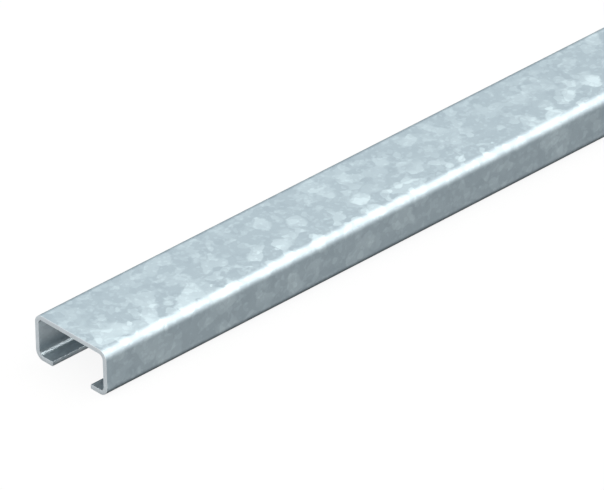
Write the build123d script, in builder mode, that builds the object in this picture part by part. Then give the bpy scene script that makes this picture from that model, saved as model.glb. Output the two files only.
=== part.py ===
from build123d import *
import os

# Slotted C-profile rail, roll-formed in one piece from zinc-coated steel strip. Millimetres.
# The rail lies along X on its two lips, with the slot between them facing down.
# The origin is at the middle of its length and width, in the plane of the lips' outer faces.

# Driving dimensions
rail_length = 2000.0
rail_width = 30.0  # outside, over the two side walls
rail_height = 15.0  # outside, from the lips to the back of the web
slot_width = 16.0  # clear gap between the free edges of the lips
sheet_thickness = 1.5
inside_bend_radius = 1.5  # on all four bends
strip_edge_radius = 0.3  # where the slit edges of the strip are rounded by the zinc
end_break = 0.15  # arris taken off round both cut ends

half_width = rail_width / 2
half_slot = slot_width / 2
outside_bend_radius = inside_bend_radius + sheet_thickness


def distance_from_middle(corner):
    """How far a corner of the section lies from the plane that halves the slot."""
    return abs(corner.X)


with BuildPart() as rail:
    with BuildSketch(Plane.YZ) as section:
        # The outside of the strip: lip, side wall, web, side wall, lip
        with BuildLine() as outside:
            Polyline(
                (-half_slot, 0),
                (-half_width, 0),
                (-half_width, rail_height),
                (half_width, rail_height),
                (half_width, 0),
                (half_slot, 0),
            )
            bends = outside.vertices().group_by(distance_from_middle)[-1]
            fillet(bends, radius=outside_bend_radius)
            # The inside of the strip follows it at one sheet thickness, round its own radius
            offset(amount=sheet_thickness, side=Side.RIGHT)
        make_face()
        free_edges = section.vertices().group_by(distance_from_middle)[0]
        fillet(free_edges, radius=strip_edge_radius)
    extrude(amount=rail_length / 2, both=True)

    # Both cut ends, deburred all round
    faces_along_length = rail.faces().group_by(Axis.X)
    end_faces = faces_along_length[0] + faces_along_length[-1]
    chamfer(end_faces.edges(), length=end_break)

rail.part.label = "c_profile_rail"

os.makedirs("parts", exist_ok=True)
export_step(rail.part, "parts/c_profile_rail.step")
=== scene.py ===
import bpy
import math
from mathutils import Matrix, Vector


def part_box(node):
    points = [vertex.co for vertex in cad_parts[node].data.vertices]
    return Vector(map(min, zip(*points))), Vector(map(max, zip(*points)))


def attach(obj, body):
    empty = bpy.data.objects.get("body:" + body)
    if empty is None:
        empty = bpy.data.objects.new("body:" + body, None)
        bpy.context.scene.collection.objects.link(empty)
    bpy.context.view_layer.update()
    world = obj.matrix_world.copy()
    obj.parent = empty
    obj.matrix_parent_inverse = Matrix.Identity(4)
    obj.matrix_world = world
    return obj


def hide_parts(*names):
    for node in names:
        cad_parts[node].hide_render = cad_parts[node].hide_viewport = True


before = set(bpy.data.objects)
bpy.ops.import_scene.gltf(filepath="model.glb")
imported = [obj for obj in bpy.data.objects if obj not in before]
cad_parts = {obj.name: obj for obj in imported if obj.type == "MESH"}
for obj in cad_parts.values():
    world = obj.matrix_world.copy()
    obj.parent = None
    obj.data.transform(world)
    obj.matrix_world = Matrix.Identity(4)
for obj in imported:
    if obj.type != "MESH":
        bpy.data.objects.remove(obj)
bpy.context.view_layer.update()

railLow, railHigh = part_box("c_profile_rail")
mm = 0.001
tiny = 1e-6  # metres, for finding edges and faces by their place


# The camera, at the photo's viewing angle
photo = {
    "width": 604,  # the picture's frame, in pixels
    "height": 490,
    "azimuth": -42.14,  # degrees round the rail, 0 looks along +Y
    "elevation": 32.31,  # degrees above the floor
    "roll": -1.35,  # degrees
    "nearEndAcross": 70.8,  # where the middle of the near cut end shows, in pixels
    "nearEndDown": 355.3,
    "pixelsPerMetre": 3548,  # there
    "distance": 3.59,  # metres from the camera to it
    "sensor": 36.0,  # mm
    "clipStart": 0.1,  # metres
    "clipEnd": 300,
}


def makeCamera():
    data = bpy.data.cameras.new("camera")
    camera = bpy.data.objects.new("camera", data)
    bpy.context.scene.collection.objects.link(camera)
    data.sensor_width = photo["sensor"]
    data.lens = photo["pixelsPerMetre"] * photo["distance"] * photo["sensor"] / photo["width"]
    data.clip_start, data.clip_end = photo["clipStart"], photo["clipEnd"]
    camera.rotation_euler = (math.radians(90 - photo["elevation"]), 0, math.radians(photo["azimuth"]))
    camera.rotation_euler.rotate_axis("Z", math.radians(photo["roll"]))
    right, up, back = camera.rotation_euler.to_matrix().transposed()
    across = (photo["nearEndAcross"] - photo["width"] / 2) / photo["pixelsPerMetre"]
    above = (photo["height"] / 2 - photo["nearEndDown"]) / photo["pixelsPerMetre"]
    nearEnd = Vector((railLow.x, 0, (railLow.z + railHigh.z) / 2))
    camera.location = nearEnd + back * photo["distance"] - right * across - up * above
    bpy.context.scene.camera = camera


# Small helpers for the node trees
def addNode(tree, kind, inputs=None, **settings):
    node = tree.nodes.new(kind)
    for name, value in settings.items():
        setattr(node, name, value)
    for name, value in (inputs or {}).items():
        if isinstance(value, bpy.types.NodeSocket):
            tree.links.new(value, node.inputs[name])
        else:
            node.inputs[name].default_value = value
    return node


def calculate(tree, operation, first, second=0.0, third=0.0):
    node = addNode(tree, "ShaderNodeMath", {0: first, 1: second, 2: third}, operation=operation)
    return node.outputs[0]


def softStep(tree, value, start, end, low=0.0, high=1.0):
    node = addNode(
        tree,
        "ShaderNodeMapRange",
        {"Value": value, "From Min": start, "From Max": end, "To Min": low, "To Max": high},
        interpolation_type="SMOOTHSTEP",
    )
    return node.outputs["Result"]


def combine(tree, operation, vectors):
    return addNode(tree, "ShaderNodeVectorMath", vectors, operation=operation).outputs[0]


def mixColours(tree, factor, first, second):
    node = addNode(tree, "ShaderNodeMix", {0: factor, 6: first, 7: second}, data_type="RGBA")
    return node.outputs[2]


def mixNumbers(tree, factor, first, second):
    node = addNode(tree, "ShaderNodeMix", {0: factor, 2: first, 3: second}, data_type="FLOAT")
    return node.outputs[0]


def addNoise(tree, place, scale, detail, roughness=0.5, output=0):
    inputs = {"Vector": place, "Scale": scale, "Detail": detail, "Roughness": roughness}
    return addNode(tree, "ShaderNodeTexNoise", inputs).outputs[output]


def newGroup(name, inputs, outputs):
    tree = bpy.data.node_groups.new(name, "ShaderNodeTree")
    for kind, sockets in (("INPUT", inputs), ("OUTPUT", outputs)):
        for socket in sockets:
            tree.interface.new_socket(socket, in_out=kind, socket_type="NodeSocketFloat")
    return tree


def newMaterial(name):
    material = bpy.data.materials.new(name)
    material.use_nodes = True
    tree = material.node_tree
    tree.nodes.clear()
    return material, tree


def useGroup(tree, group, values):
    return addNode(tree, "ShaderNodeGroup", values, node_tree=group).outputs


# The mesh of the rail, formed as the strip is: web, side walls, lips, then its thickness
rail = {
    "sheet": 1.5 * mm,
    "slot": 16 * mm,
    "bendRadius": 3 * mm,  # outside
    "bendSegments": 14,
    "slitRadius": 0.3 * mm,  # on the slit edges of the strip
    "slitSegments": 4,
    "endBreak": 0.15 * mm,  # arris off the cut ends
    "endBreakSegments": 2,
    "stretches": 15,  # along the length
    "smoothAngle": 35,  # degrees, sharper edges than this stay crisp
    "endMapScale": 5.0,  # the cut ends in the UV map, per metre
    "mapMargin": 0.005,
    "endStretch": 1 * mm,  # seams across the rail stay this far from its ends
}


def clearSelection(kind):
    bpy.ops.object.mode_set(mode="EDIT")
    bpy.ops.mesh.select_mode(type=kind)
    bpy.ops.mesh.select_all(action="DESELECT")
    bpy.ops.object.mode_set(mode="OBJECT")


def selectEdges(piece, wanted):
    clearSelection("EDGE")
    points = piece.data.vertices
    for edge in piece.data.edges:
        edge.select = wanted(points[edge.vertices[0]].co, points[edge.vertices[1]].co)
    bpy.ops.object.mode_set(mode="EDIT")


def selectFaces(piece, wanted):
    clearSelection("FACE")
    for face in piece.data.polygons:
        face.select = wanted(face)
    bpy.ops.object.mode_set(mode="EDIT")


def near(first, second):
    return abs(first - second) < tiny


def bevelSelected(radius, segments):
    bpy.ops.mesh.bevel(offset=radius, segments=segments, profile=0.5, affect="EDGES")


def makeRail():
    halfLength, halfWidth, halfSlot = railHigh.x, railHigh.y, rail["slot"] / 2
    top, bottom = railHigh.z, railLow.z

    # The web, flat on top
    bpy.ops.object.select_all(action="DESELECT")
    bpy.ops.mesh.primitive_grid_add(
        x_subdivisions=rail["stretches"], y_subdivisions=1, size=1, location=(0, 0, top)
    )
    piece = bpy.context.object
    piece.name = piece.data.name = "rail"
    piece.scale = (halfLength * 2, halfWidth * 2, 1)
    bpy.ops.object.transform_apply(location=True, rotation=True, scale=True)

    # Both side walls, then a lip on each
    selectEdges(piece, lambda a, b: near(abs(a.y), halfWidth) and near(a.y, b.y))
    bpy.ops.mesh.extrude_region_move(TRANSFORM_OT_translate={"value": (0, 0, bottom - top)})
    bpy.ops.object.mode_set(mode="OBJECT")
    for side in (-1, 1):
        selectEdges(
            piece,
            lambda a, b: near(a.y, side * halfWidth)
            and near(b.y, side * halfWidth)
            and near(a.z, bottom)
            and near(b.z, bottom),
        )
        bpy.ops.mesh.extrude_region_move(
            TRANSFORM_OT_translate={"value": (0, side * (halfSlot - halfWidth), 0)}
        )
        bpy.ops.object.mode_set(mode="OBJECT")

    # The four bends
    selectEdges(piece, lambda a, b: near(abs(a.y), halfWidth) and near(a.y, b.y) and near(a.z, b.z))
    bevelSelected(rail["bendRadius"], rail["bendSegments"])
    bpy.ops.mesh.select_all(action="SELECT")
    bpy.ops.mesh.normals_make_consistent(inside=False)
    bpy.ops.object.mode_set(mode="OBJECT")

    # The thickness goes inwards, so the bends' inner and outer radii share a centre
    wall = piece.modifiers.new("wall", "SOLIDIFY")
    wall.thickness = rail["sheet"]
    wall.offset = -1
    wall.use_even_offset = True
    wall.use_quality_normals = True
    bpy.ops.object.modifier_apply(modifier=wall.name)

    # The slit edges of the strip, then the arris of both cut ends
    selectEdges(
        piece,
        lambda a, b: near(abs(a.y), halfSlot)
        and near(a.y, b.y)
        and near(a.z, b.z)
        and not near(a.x, b.x),
    )
    bevelSelected(rail["slitRadius"], rail["slitSegments"])
    bpy.ops.object.mode_set(mode="OBJECT")
    selectFaces(piece, lambda face: near(abs(face.center.x), halfLength))
    bpy.ops.mesh.region_to_loop()
    bevelSelected(rail["endBreak"], rail["endBreakSegments"])
    bpy.ops.object.mode_set(mode="OBJECT")

    bpy.ops.object.shade_smooth_by_angle(angle=math.radians(rail["smoothAngle"]))
    flat = piece.modifiers.new("flat", "WEIGHTED_NORMAL")
    flat.keep_sharp = True
    bpy.ops.object.modifier_apply(modifier=flat.name)
    return piece


def inEndCut(face):
    return abs(face.center.x) > railHigh.x - rail["endBreak"] - tiny


# The piece's own UV map: every stretch unrolled flat, and both cut ends a size larger
def unwrapRail(piece):
    halfSlot, radius = rail["slot"] / 2, rail["slitRadius"]
    piece.data.uv_layers[0].name = "OFBake"
    selectFaces(piece, inEndCut)
    bpy.ops.mesh.region_to_loop()
    bpy.ops.mesh.mark_seam(clear=False)
    bpy.ops.object.mode_set(mode="OBJECT")
    selectEdges(
        piece,
        lambda a, b: near(a.x, b.x)
        and abs(a.x) < railHigh.x - rail["endStretch"]
        or not near(a.x, b.x)
        and near(a.y, -halfSlot)
        and near(b.y, -halfSlot)
        and near(a.z, railLow.z + radius)
        and near(b.z, railLow.z + radius),
    )
    bpy.ops.mesh.mark_seam(clear=False)
    bpy.ops.mesh.select_all(action="SELECT")
    bpy.ops.uv.unwrap(method="ANGLE_BASED", margin=0.0)
    bpy.ops.object.mode_set(mode="OBJECT")
    mesh, scale = piece.data, rail["endMapScale"]
    for face in filter(inEndCut, mesh.polygons):
        for corner in face.loop_indices:
            point = mesh.vertices[mesh.loops[corner].vertex_index].co
            across = math.copysign(point.y, point.x * point.y)
            mesh.uv_layers[0].data[corner].uv = (across * scale, point.z * scale)
    bpy.ops.object.mode_set(mode="EDIT")
    bpy.ops.mesh.select_all(action="SELECT")
    bpy.ops.uv.select_all(action="SELECT")
    bpy.ops.uv.pack_islands(margin=rail["mapMargin"])
    bpy.ops.object.mode_set(mode="OBJECT")


# The finish: hot-dip zinc in broad soft-edged crystals, its slit edges, and the bare cut ends
finish = {
    "outsideDeep": (0.474, 0.574, 0.632, 1),  # the darkest zinc, between the crystals
    "outsidePale": (0.79, 0.928, 0.978, 1),  # the lightest crystals
    "outsideMetal": 1.0,
    "outsideDull": 0.46,  # roughness of the deep zinc
    "outsideSmooth": 0.42,  # and of the pale crystals
    "outsideRelief": 0.01 * mm,
    "insideDeep": (0.545, 0.625, 0.67, 1),  # painted paler and less blue than outside, for the light inside the channel; a little milky
    "insidePale": (0.81, 0.925, 0.97, 1),
    "insideMetal": 0.82,
    "insideDull": 0.34,
    "insideSmooth": 0.31,
    "insideRelief": 0.007 * mm,
    "zincRim": (0, 0, 0, 1),  # the tint at a glancing view, where black dulls the mirroring
    "crystalScale": 175,  # broad crystals per metre, as are all the scales
    "crystalStrength": 0.5,  # how far the crystals stand out on the flats
    "sheenStrength": 1.12,  # strongest here, as painted sheen beside the bend that the light falls on
    "sheenWebBand": (-0.5 * mm, -10 * mm),  # across the web, where the painted sheen grows stronger
    "sheenBendBand": (-12.2 * mm, -14 * mm),  # over its lit bend, where the painted sheen weakens again
    "broadCrystals": (1.0, 0.6, 1.0),  # times finer, softness, share of the warp
    "middleCrystals": (2.3, 0.7, 0.75),
    "smallCrystals": (5.0, 0.7, 0.45),
    "broadShown": (0.54, 0.74),  # which crystals are pale, from none to fully
    "broadTone": (0.46, 0.22),  # how much their strength varies, and the least of it
    "middleShown": (0.5, 0.7),
    "middleTone": (0.48, 0.12),
    "smallShown": (0.56, 0.82),
    "smallTone": 0.34,
    "betweenShown": (0.58, 0.8),  # the flecks between the middling crystals
    "betweenTone": 0.14,
    "fleckHeight": 0.5,  # as a share of the crystals'
    "fleckStrength": 0.5,
    "warp": 2.6 * mm,  # how far the crystals' outlines wander
    "warpScale": 240,
    "slitColour": (0.72, 0.79, 0.82, 1),
    "slitRoughness": 0.4,
    "sawnColour": (0.72, 0.79, 0.83, 1),
    "sawnMetal": 0.3,
    "sawnRoughness": 0.48,
    "sawnRelief": 0.01 * mm,
    "grooveTone": 0.86,  # how pale the saw's grooves are, as a share of sawnColour
    "strokeScale": (100, 100, 5200),  # long across the end, fine up it
    "strokeTilt": 0.12,  # radians
    "strokeShare": 0.6,  # of the sawn tone, the rest is grain
    "grainShare": 0.09,  # of the grain in the zinc's tone
    "grainHeight": 0.25,
    "grainFine": 0.45,  # the fine grain's share, the rest is cloudier
    "grainShown": (0.3, 0.7),
    "cloudTimes": 9.0,  # how many times broader that is
    "grainScale": 2600,
    "slitGrainScale": 3400,
    "sawnGrainScale": 3000,
}


def makeGrain():
    tree = newGroup("metalGrain", ["Scale"], ["Tone", "Height"])
    scale = addNode(tree, "NodeGroupInput").outputs["Scale"]
    place = addNode(tree, "ShaderNodeTexCoord").outputs["Object"]
    fine = addNoise(tree, place, scale, detail=2.0, roughness=0.6)
    cloudScale = calculate(tree, "DIVIDE", scale, finish["cloudTimes"])
    cloud = addNoise(tree, place, cloudScale, detail=3.0, roughness=0.6)
    cloud = calculate(tree, "MULTIPLY", cloud, 1 - finish["grainFine"])
    tone = calculate(tree, "MULTIPLY_ADD", fine, finish["grainFine"], cloud)
    tone = softStep(tree, tone, *finish["grainShown"])
    addNode(tree, "NodeGroupOutput", {"Tone": tone, "Height": fine})
    return tree


def makeSpangle():
    tree = newGroup("spangle", ["Scale", "Warp", "Warp Scale"], ["Crystals", "Flecks", "Height"])
    given = addNode(tree, "NodeGroupInput").outputs
    place = addNode(tree, "ShaderNodeTexCoord").outputs["Object"]
    drift = addNoise(tree, place, given["Warp Scale"], detail=3.0, roughness=0.62, output="Color")
    drift = combine(tree, "SUBTRACT", {0: drift, 1: (0.5, 0.5, 0.5)})

    # Crystals of one size, with how far their outlines wander as a share of the broad ones'
    def crystals(times, smoothness, share):
        warp = calculate(tree, "MULTIPLY", given["Warp"], share)
        shift = combine(tree, "SCALE", {0: drift, "Scale": warp})
        warped = combine(tree, "ADD", {0: place, 1: shift})
        scale = calculate(tree, "MULTIPLY", given["Scale"], times)
        cells = addNode(
            tree,
            "ShaderNodeTexVoronoi",
            {"Vector": warped, "Scale": scale, "Smoothness": smoothness},
            feature="SMOOTH_F1",
        )
        return addNode(tree, "ShaderNodeSeparateColor", {"Color": cells.outputs["Color"]}).outputs

    # The pale ones among them, each of its own strength
    def pale(size, cells):
        varies, least = finish[size + "Tone"]
        strength = calculate(tree, "MULTIPLY_ADD", cells[1], varies, least)
        shown = softStep(tree, cells[0], *finish[size + "Shown"])
        return calculate(tree, "MULTIPLY", shown, strength)

    broad = crystals(*finish["broadCrystals"])
    middle = crystals(*finish["middleCrystals"])
    small = crystals(*finish["smallCrystals"])
    large = calculate(tree, "ADD", pale("broad", broad), pale("middle", middle))

    # Flecks over and between them
    smallPale = softStep(tree, small[0], *finish["smallShown"], high=finish["smallTone"])
    between = softStep(
        tree, middle[2], *finish["betweenShown"], low=finish["betweenTone"], high=0.0
    )
    flecks = calculate(tree, "ADD", smallPale, between)
    height = calculate(tree, "MULTIPLY_ADD", flecks, finish["fleckHeight"], large)
    addNode(tree, "NodeGroupOutput", {"Crystals": large, "Flecks": flecks, "Height": height})
    return tree


def makeZinc(face, spangle, grain):
    material, tree = newMaterial(face + "Zinc")
    words = ("Deep", "Pale", "Metal", "Dull", "Smooth", "Relief")
    deep, pale, metal, dull, smooth, relief = [finish[face + word] for word in words]
    crystal = useGroup(
        tree,
        spangle,
        {"Scale": finish["crystalScale"], "Warp": finish["warp"], "Warp Scale": finish["warpScale"]},
    )
    speck = useGroup(tree, grain, {"Scale": finish["grainScale"]})
    place = addNode(tree, "ShaderNodeTexCoord").outputs["Object"]
    across = addNode(tree, "ShaderNodeSeparateXYZ", {0: place}).outputs["Y"]
    # Painted sheen: crystals painted stronger towards the lit bend on -Y, and weaker again on the side
    least, most = finish["crystalStrength"], finish["sheenStrength"]
    sheenOnWeb = softStep(tree, across, *finish["sheenWebBand"], low=least, high=most)
    sheenPastBend = softStep(tree, across, *finish["sheenBendBand"], high=most - least)
    strength = calculate(tree, "SUBTRACT", sheenOnWeb, sheenPastBend)
    tone = calculate(tree, "MULTIPLY", crystal["Crystals"], strength)
    tone = calculate(tree, "MULTIPLY_ADD", crystal["Flecks"], finish["fleckStrength"], tone)
    tone = calculate(tree, "MULTIPLY_ADD", speck["Tone"], finish["grainShare"], tone)
    tone = addNode(tree, "ShaderNodeClamp", {"Value": tone}).outputs[0]
    height = calculate(
        tree, "MULTIPLY_ADD", speck["Height"], finish["grainHeight"], crystal["Height"]
    )
    bump = addNode(tree, "ShaderNodeBump", {"Height": height, "Strength": 1.0, "Distance": relief})
    shader = addNode(
        tree,
        "ShaderNodeBsdfPrincipled",
        {
            "Base Color": mixColours(tree, tone, deep, pale),
            "Metallic": metal,
            "Roughness": mixNumbers(tree, tone, dull, smooth),
            "Specular Tint": finish["zincRim"],
            "Normal": bump.outputs[0],
        },
    )
    addNode(tree, "ShaderNodeOutputMaterial", {"Surface": shader.outputs[0]})
    return material


def makeSlitEdge(grain):
    material, tree = newMaterial("slitEdge")
    speck = useGroup(tree, grain, {"Scale": finish["slitGrainScale"]})
    shader = addNode(
        tree,
        "ShaderNodeBsdfPrincipled",
        {
            "Base Color": mixColours(tree, speck["Tone"], finish["outsideDeep"], finish["slitColour"]),
            "Metallic": 1.0,
            "Roughness": finish["slitRoughness"],
            "Specular Tint": finish["zincRim"],
        },
    )
    addNode(tree, "ShaderNodeOutputMaterial", {"Surface": shader.outputs[0]})
    return material


def makeSawnEnd(grain):
    material, tree = newMaterial("sawnEnd")
    speck = useGroup(tree, grain, {"Scale": finish["sawnGrainScale"]})
    place = addNode(tree, "ShaderNodeTexCoord").outputs["Object"]
    tilt = (finish["strokeTilt"], 0, 0)
    across = addNode(
        tree, "ShaderNodeMapping", {"Vector": place, "Scale": finish["strokeScale"], "Rotation": tilt}
    )
    stroke = addNoise(tree, across.outputs[0], 1.0, detail=2.0)
    rest = calculate(tree, "MULTIPLY", speck["Tone"], 1 - finish["strokeShare"])
    tone = calculate(tree, "MULTIPLY_ADD", stroke, finish["strokeShare"], rest)
    bump = addNode(
        tree, "ShaderNodeBump", {"Height": stroke, "Strength": 1.0, "Distance": finish["sawnRelief"]}
    )
    groove = [value * finish["grooveTone"] for value in finish["sawnColour"][:3]] + [1]
    shader = addNode(
        tree,
        "ShaderNodeBsdfPrincipled",
        {
            "Base Color": mixColours(tree, tone, groove, finish["sawnColour"]),
            "Metallic": finish["sawnMetal"],
            "Roughness": finish["sawnRoughness"],
            "Normal": bump.outputs[0],
        },
    )
    addNode(tree, "ShaderNodeOutputMaterial", {"Surface": shader.outputs[0]})
    return material


def onInside(face):
    sheet = rail["sheet"] - tiny
    within = railLow.z + sheet < face.center.z < railHigh.z - sheet
    return within and abs(face.center.y) < railHigh.y - sheet


def finishRail(piece):
    grain, spangle = makeGrain(), makeSpangle()
    for material in (
        makeZinc("outside", spangle, grain),
        # the inside copy of the zinc, painted paler as light in the channel
        makeZinc("inside", spangle, grain),
        makeSlitEdge(grain),
        makeSawnEnd(grain),
    ):
        piece.data.materials.append(material)
    slitTo = rail["slot"] / 2 + rail["slitRadius"]
    for face in piece.data.polygons:
        if inEndCut(face):
            face.material_index = 3
        elif abs(face.center.y) < slitTo and face.center.z < railLow.z + rail["sheet"] + tiny:
            face.material_index = 2
        elif onInside(face):
            face.material_index = 1


# The studio: floor, world, a broad soft key lamp, one that reaches inside, a weak one for the end
studio = {
    "floorSize": 200.0,
    "floorGap": 0.05 * mm,
    "floorGrey": 0.45,  # the paper as it lights the rail
    "floorPale": 0.95,  # the paper in the picture, where the rail's shadow stays on it
    "whiteShare": 0.88,  # of plain white in it
    "mirroredWhite": 0.445,  # how bright that white is in metal
    "shadedWhite": 0.1,  # and in the painted shade under the rail's two lips
    "shadeFade": 2 * mm,  # how far that shade fades out round a lip
    "ambient": 0.8,
    "keyColour": (1.0, 0.87, 0.77),
    "keyDirection": (0.7, -0.381, 0.604),
    "keyAngle": 82.0,
    "keyStrength": 0.74,
    "insideDirection": (0.64, -0.354, 0.682),  # it casts no shadow, so it reaches the rail's inside
    "insideColour": (0.95, 0.93, 0.9),
    "insideAngle": 50.0,
    "insideStrength": 0.54,
    "endColour": (1.0, 1.0, 1.0),
    "endDirection": (-0.75, -0.35, 0.55),
    "endAngle": 90.0,
    "endStrength": 0.8,
}


def anyOf(tree, path, kinds):
    seen = 0.0
    for kind in kinds:
        seen = calculate(tree, "MAXIMUM", path[kind], seen)
    return seen


def makeLight(name, colour, direction, angle, strength, blocked):
    data = bpy.data.lights.new(name, "SUN")
    data.color = colour
    data.angle = math.radians(angle)
    data.energy = strength
    if not blocked:  # it reaches past the rail's walls, and isn't passed on from one to the next
        data.use_shadow = False
        data.cycles.use_multiple_importance_sampling = False
        data.cycles.max_bounces = 0
    light = bpy.data.objects.new(name, data)
    bpy.context.scene.collection.objects.link(light)
    light.rotation_euler = Vector(direction).to_track_quat("Z", "Y").to_euler()


def makeStudio():
    bpy.ops.object.select_all(action="DESELECT")
    below = railLow.z - studio["floorGap"]
    bpy.ops.mesh.primitive_plane_add(size=studio["floorSize"], location=(0, 0, below))
    floor = bpy.context.object
    floor.name = "floor"
    material, tree = newMaterial("floorPaper")
    path = addNode(tree, "ShaderNodeLightPath").outputs
    grey = (studio["floorGrey"],) * 3 + (1,)
    pale = (studio["floorPale"],) * 3 + (1,)
    colour = mixColours(tree, path["Is Camera Ray"], grey, pale)
    paper = addNode(tree, "ShaderNodeBsdfDiffuse", {"Color": colour})
    place = addNode(tree, "ShaderNodeTexCoord").outputs["Object"]
    along, across = addNode(tree, "ShaderNodeSeparateXYZ", {0: place}).outputs[:2]
    lipMiddle = (railHigh.y + rail["slot"] / 2) / 2
    halfLip = (railHigh.y - rail["slot"] / 2) / 2
    fromLip = calculate(tree, "SUBTRACT", calculate(tree, "ABSOLUTE", across), lipMiddle)
    beside = calculate(tree, "SUBTRACT", calculate(tree, "ABSOLUTE", fromLip), halfLip)
    beyond = calculate(tree, "SUBTRACT", calculate(tree, "ABSOLUTE", along), railHigh.x)
    # 0 in the painted shade under a lip, 1 in the open
    lit = softStep(tree, calculate(tree, "MAXIMUM", beside, beyond), 0.0, studio["shadeFade"])
    mirrored = mixNumbers(tree, lit, studio["shadedWhite"], studio["mirroredWhite"])
    level = mixNumbers(tree, path["Is Camera Ray"], mirrored, 1.0)
    white = addNode(tree, "ShaderNodeEmission", {"Color": (1, 1, 1, 1), "Strength": level})
    seen = anyOf(tree, path, ("Is Camera Ray", "Is Glossy Ray", "Is Transmission Ray"))
    share = calculate(tree, "MULTIPLY", seen, studio["whiteShare"])
    mix = addNode(tree, "ShaderNodeMixShader", {0: share, 1: paper.outputs[0], 2: white.outputs[0]})
    addNode(tree, "ShaderNodeOutputMaterial", {"Surface": mix.outputs[0]})
    floor.data.materials.append(material)

    world = bpy.data.worlds.new("studio")
    world.use_nodes = True
    bpy.context.scene.world = world
    tree = world.node_tree
    tree.nodes.clear()
    path = addNode(tree, "ShaderNodeLightPath").outputs
    seen = anyOf(tree, path, ("Is Camera Ray", "Is Glossy Ray", "Is Transmission Ray"))
    strength = mixNumbers(tree, seen, studio["ambient"], 1.0)
    sky = addNode(tree, "ShaderNodeBackground", {"Color": (1, 1, 1, 1), "Strength": strength})
    addNode(tree, "ShaderNodeOutputWorld", {"Surface": sky.outputs[0]})

    for name in ("key", "inside", "end"):
        setting = [studio[name + word] for word in ("Colour", "Direction", "Angle", "Strength")]
        makeLight(name, *setting, blocked=name != "inside")


makeCamera()
print("camera made")
piece = makeRail()
print("rail modelled", len(piece.data.polygons), "faces")
unwrapRail(piece)
print("rail unwrapped")
finishRail(piece)
print("rail finished", len(piece.data.materials), "materials")
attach(piece, "root")
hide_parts("c_profile_rail")
makeStudio()
print("studio made")
bpy.context.scene.view_settings.view_transform = "Standard"
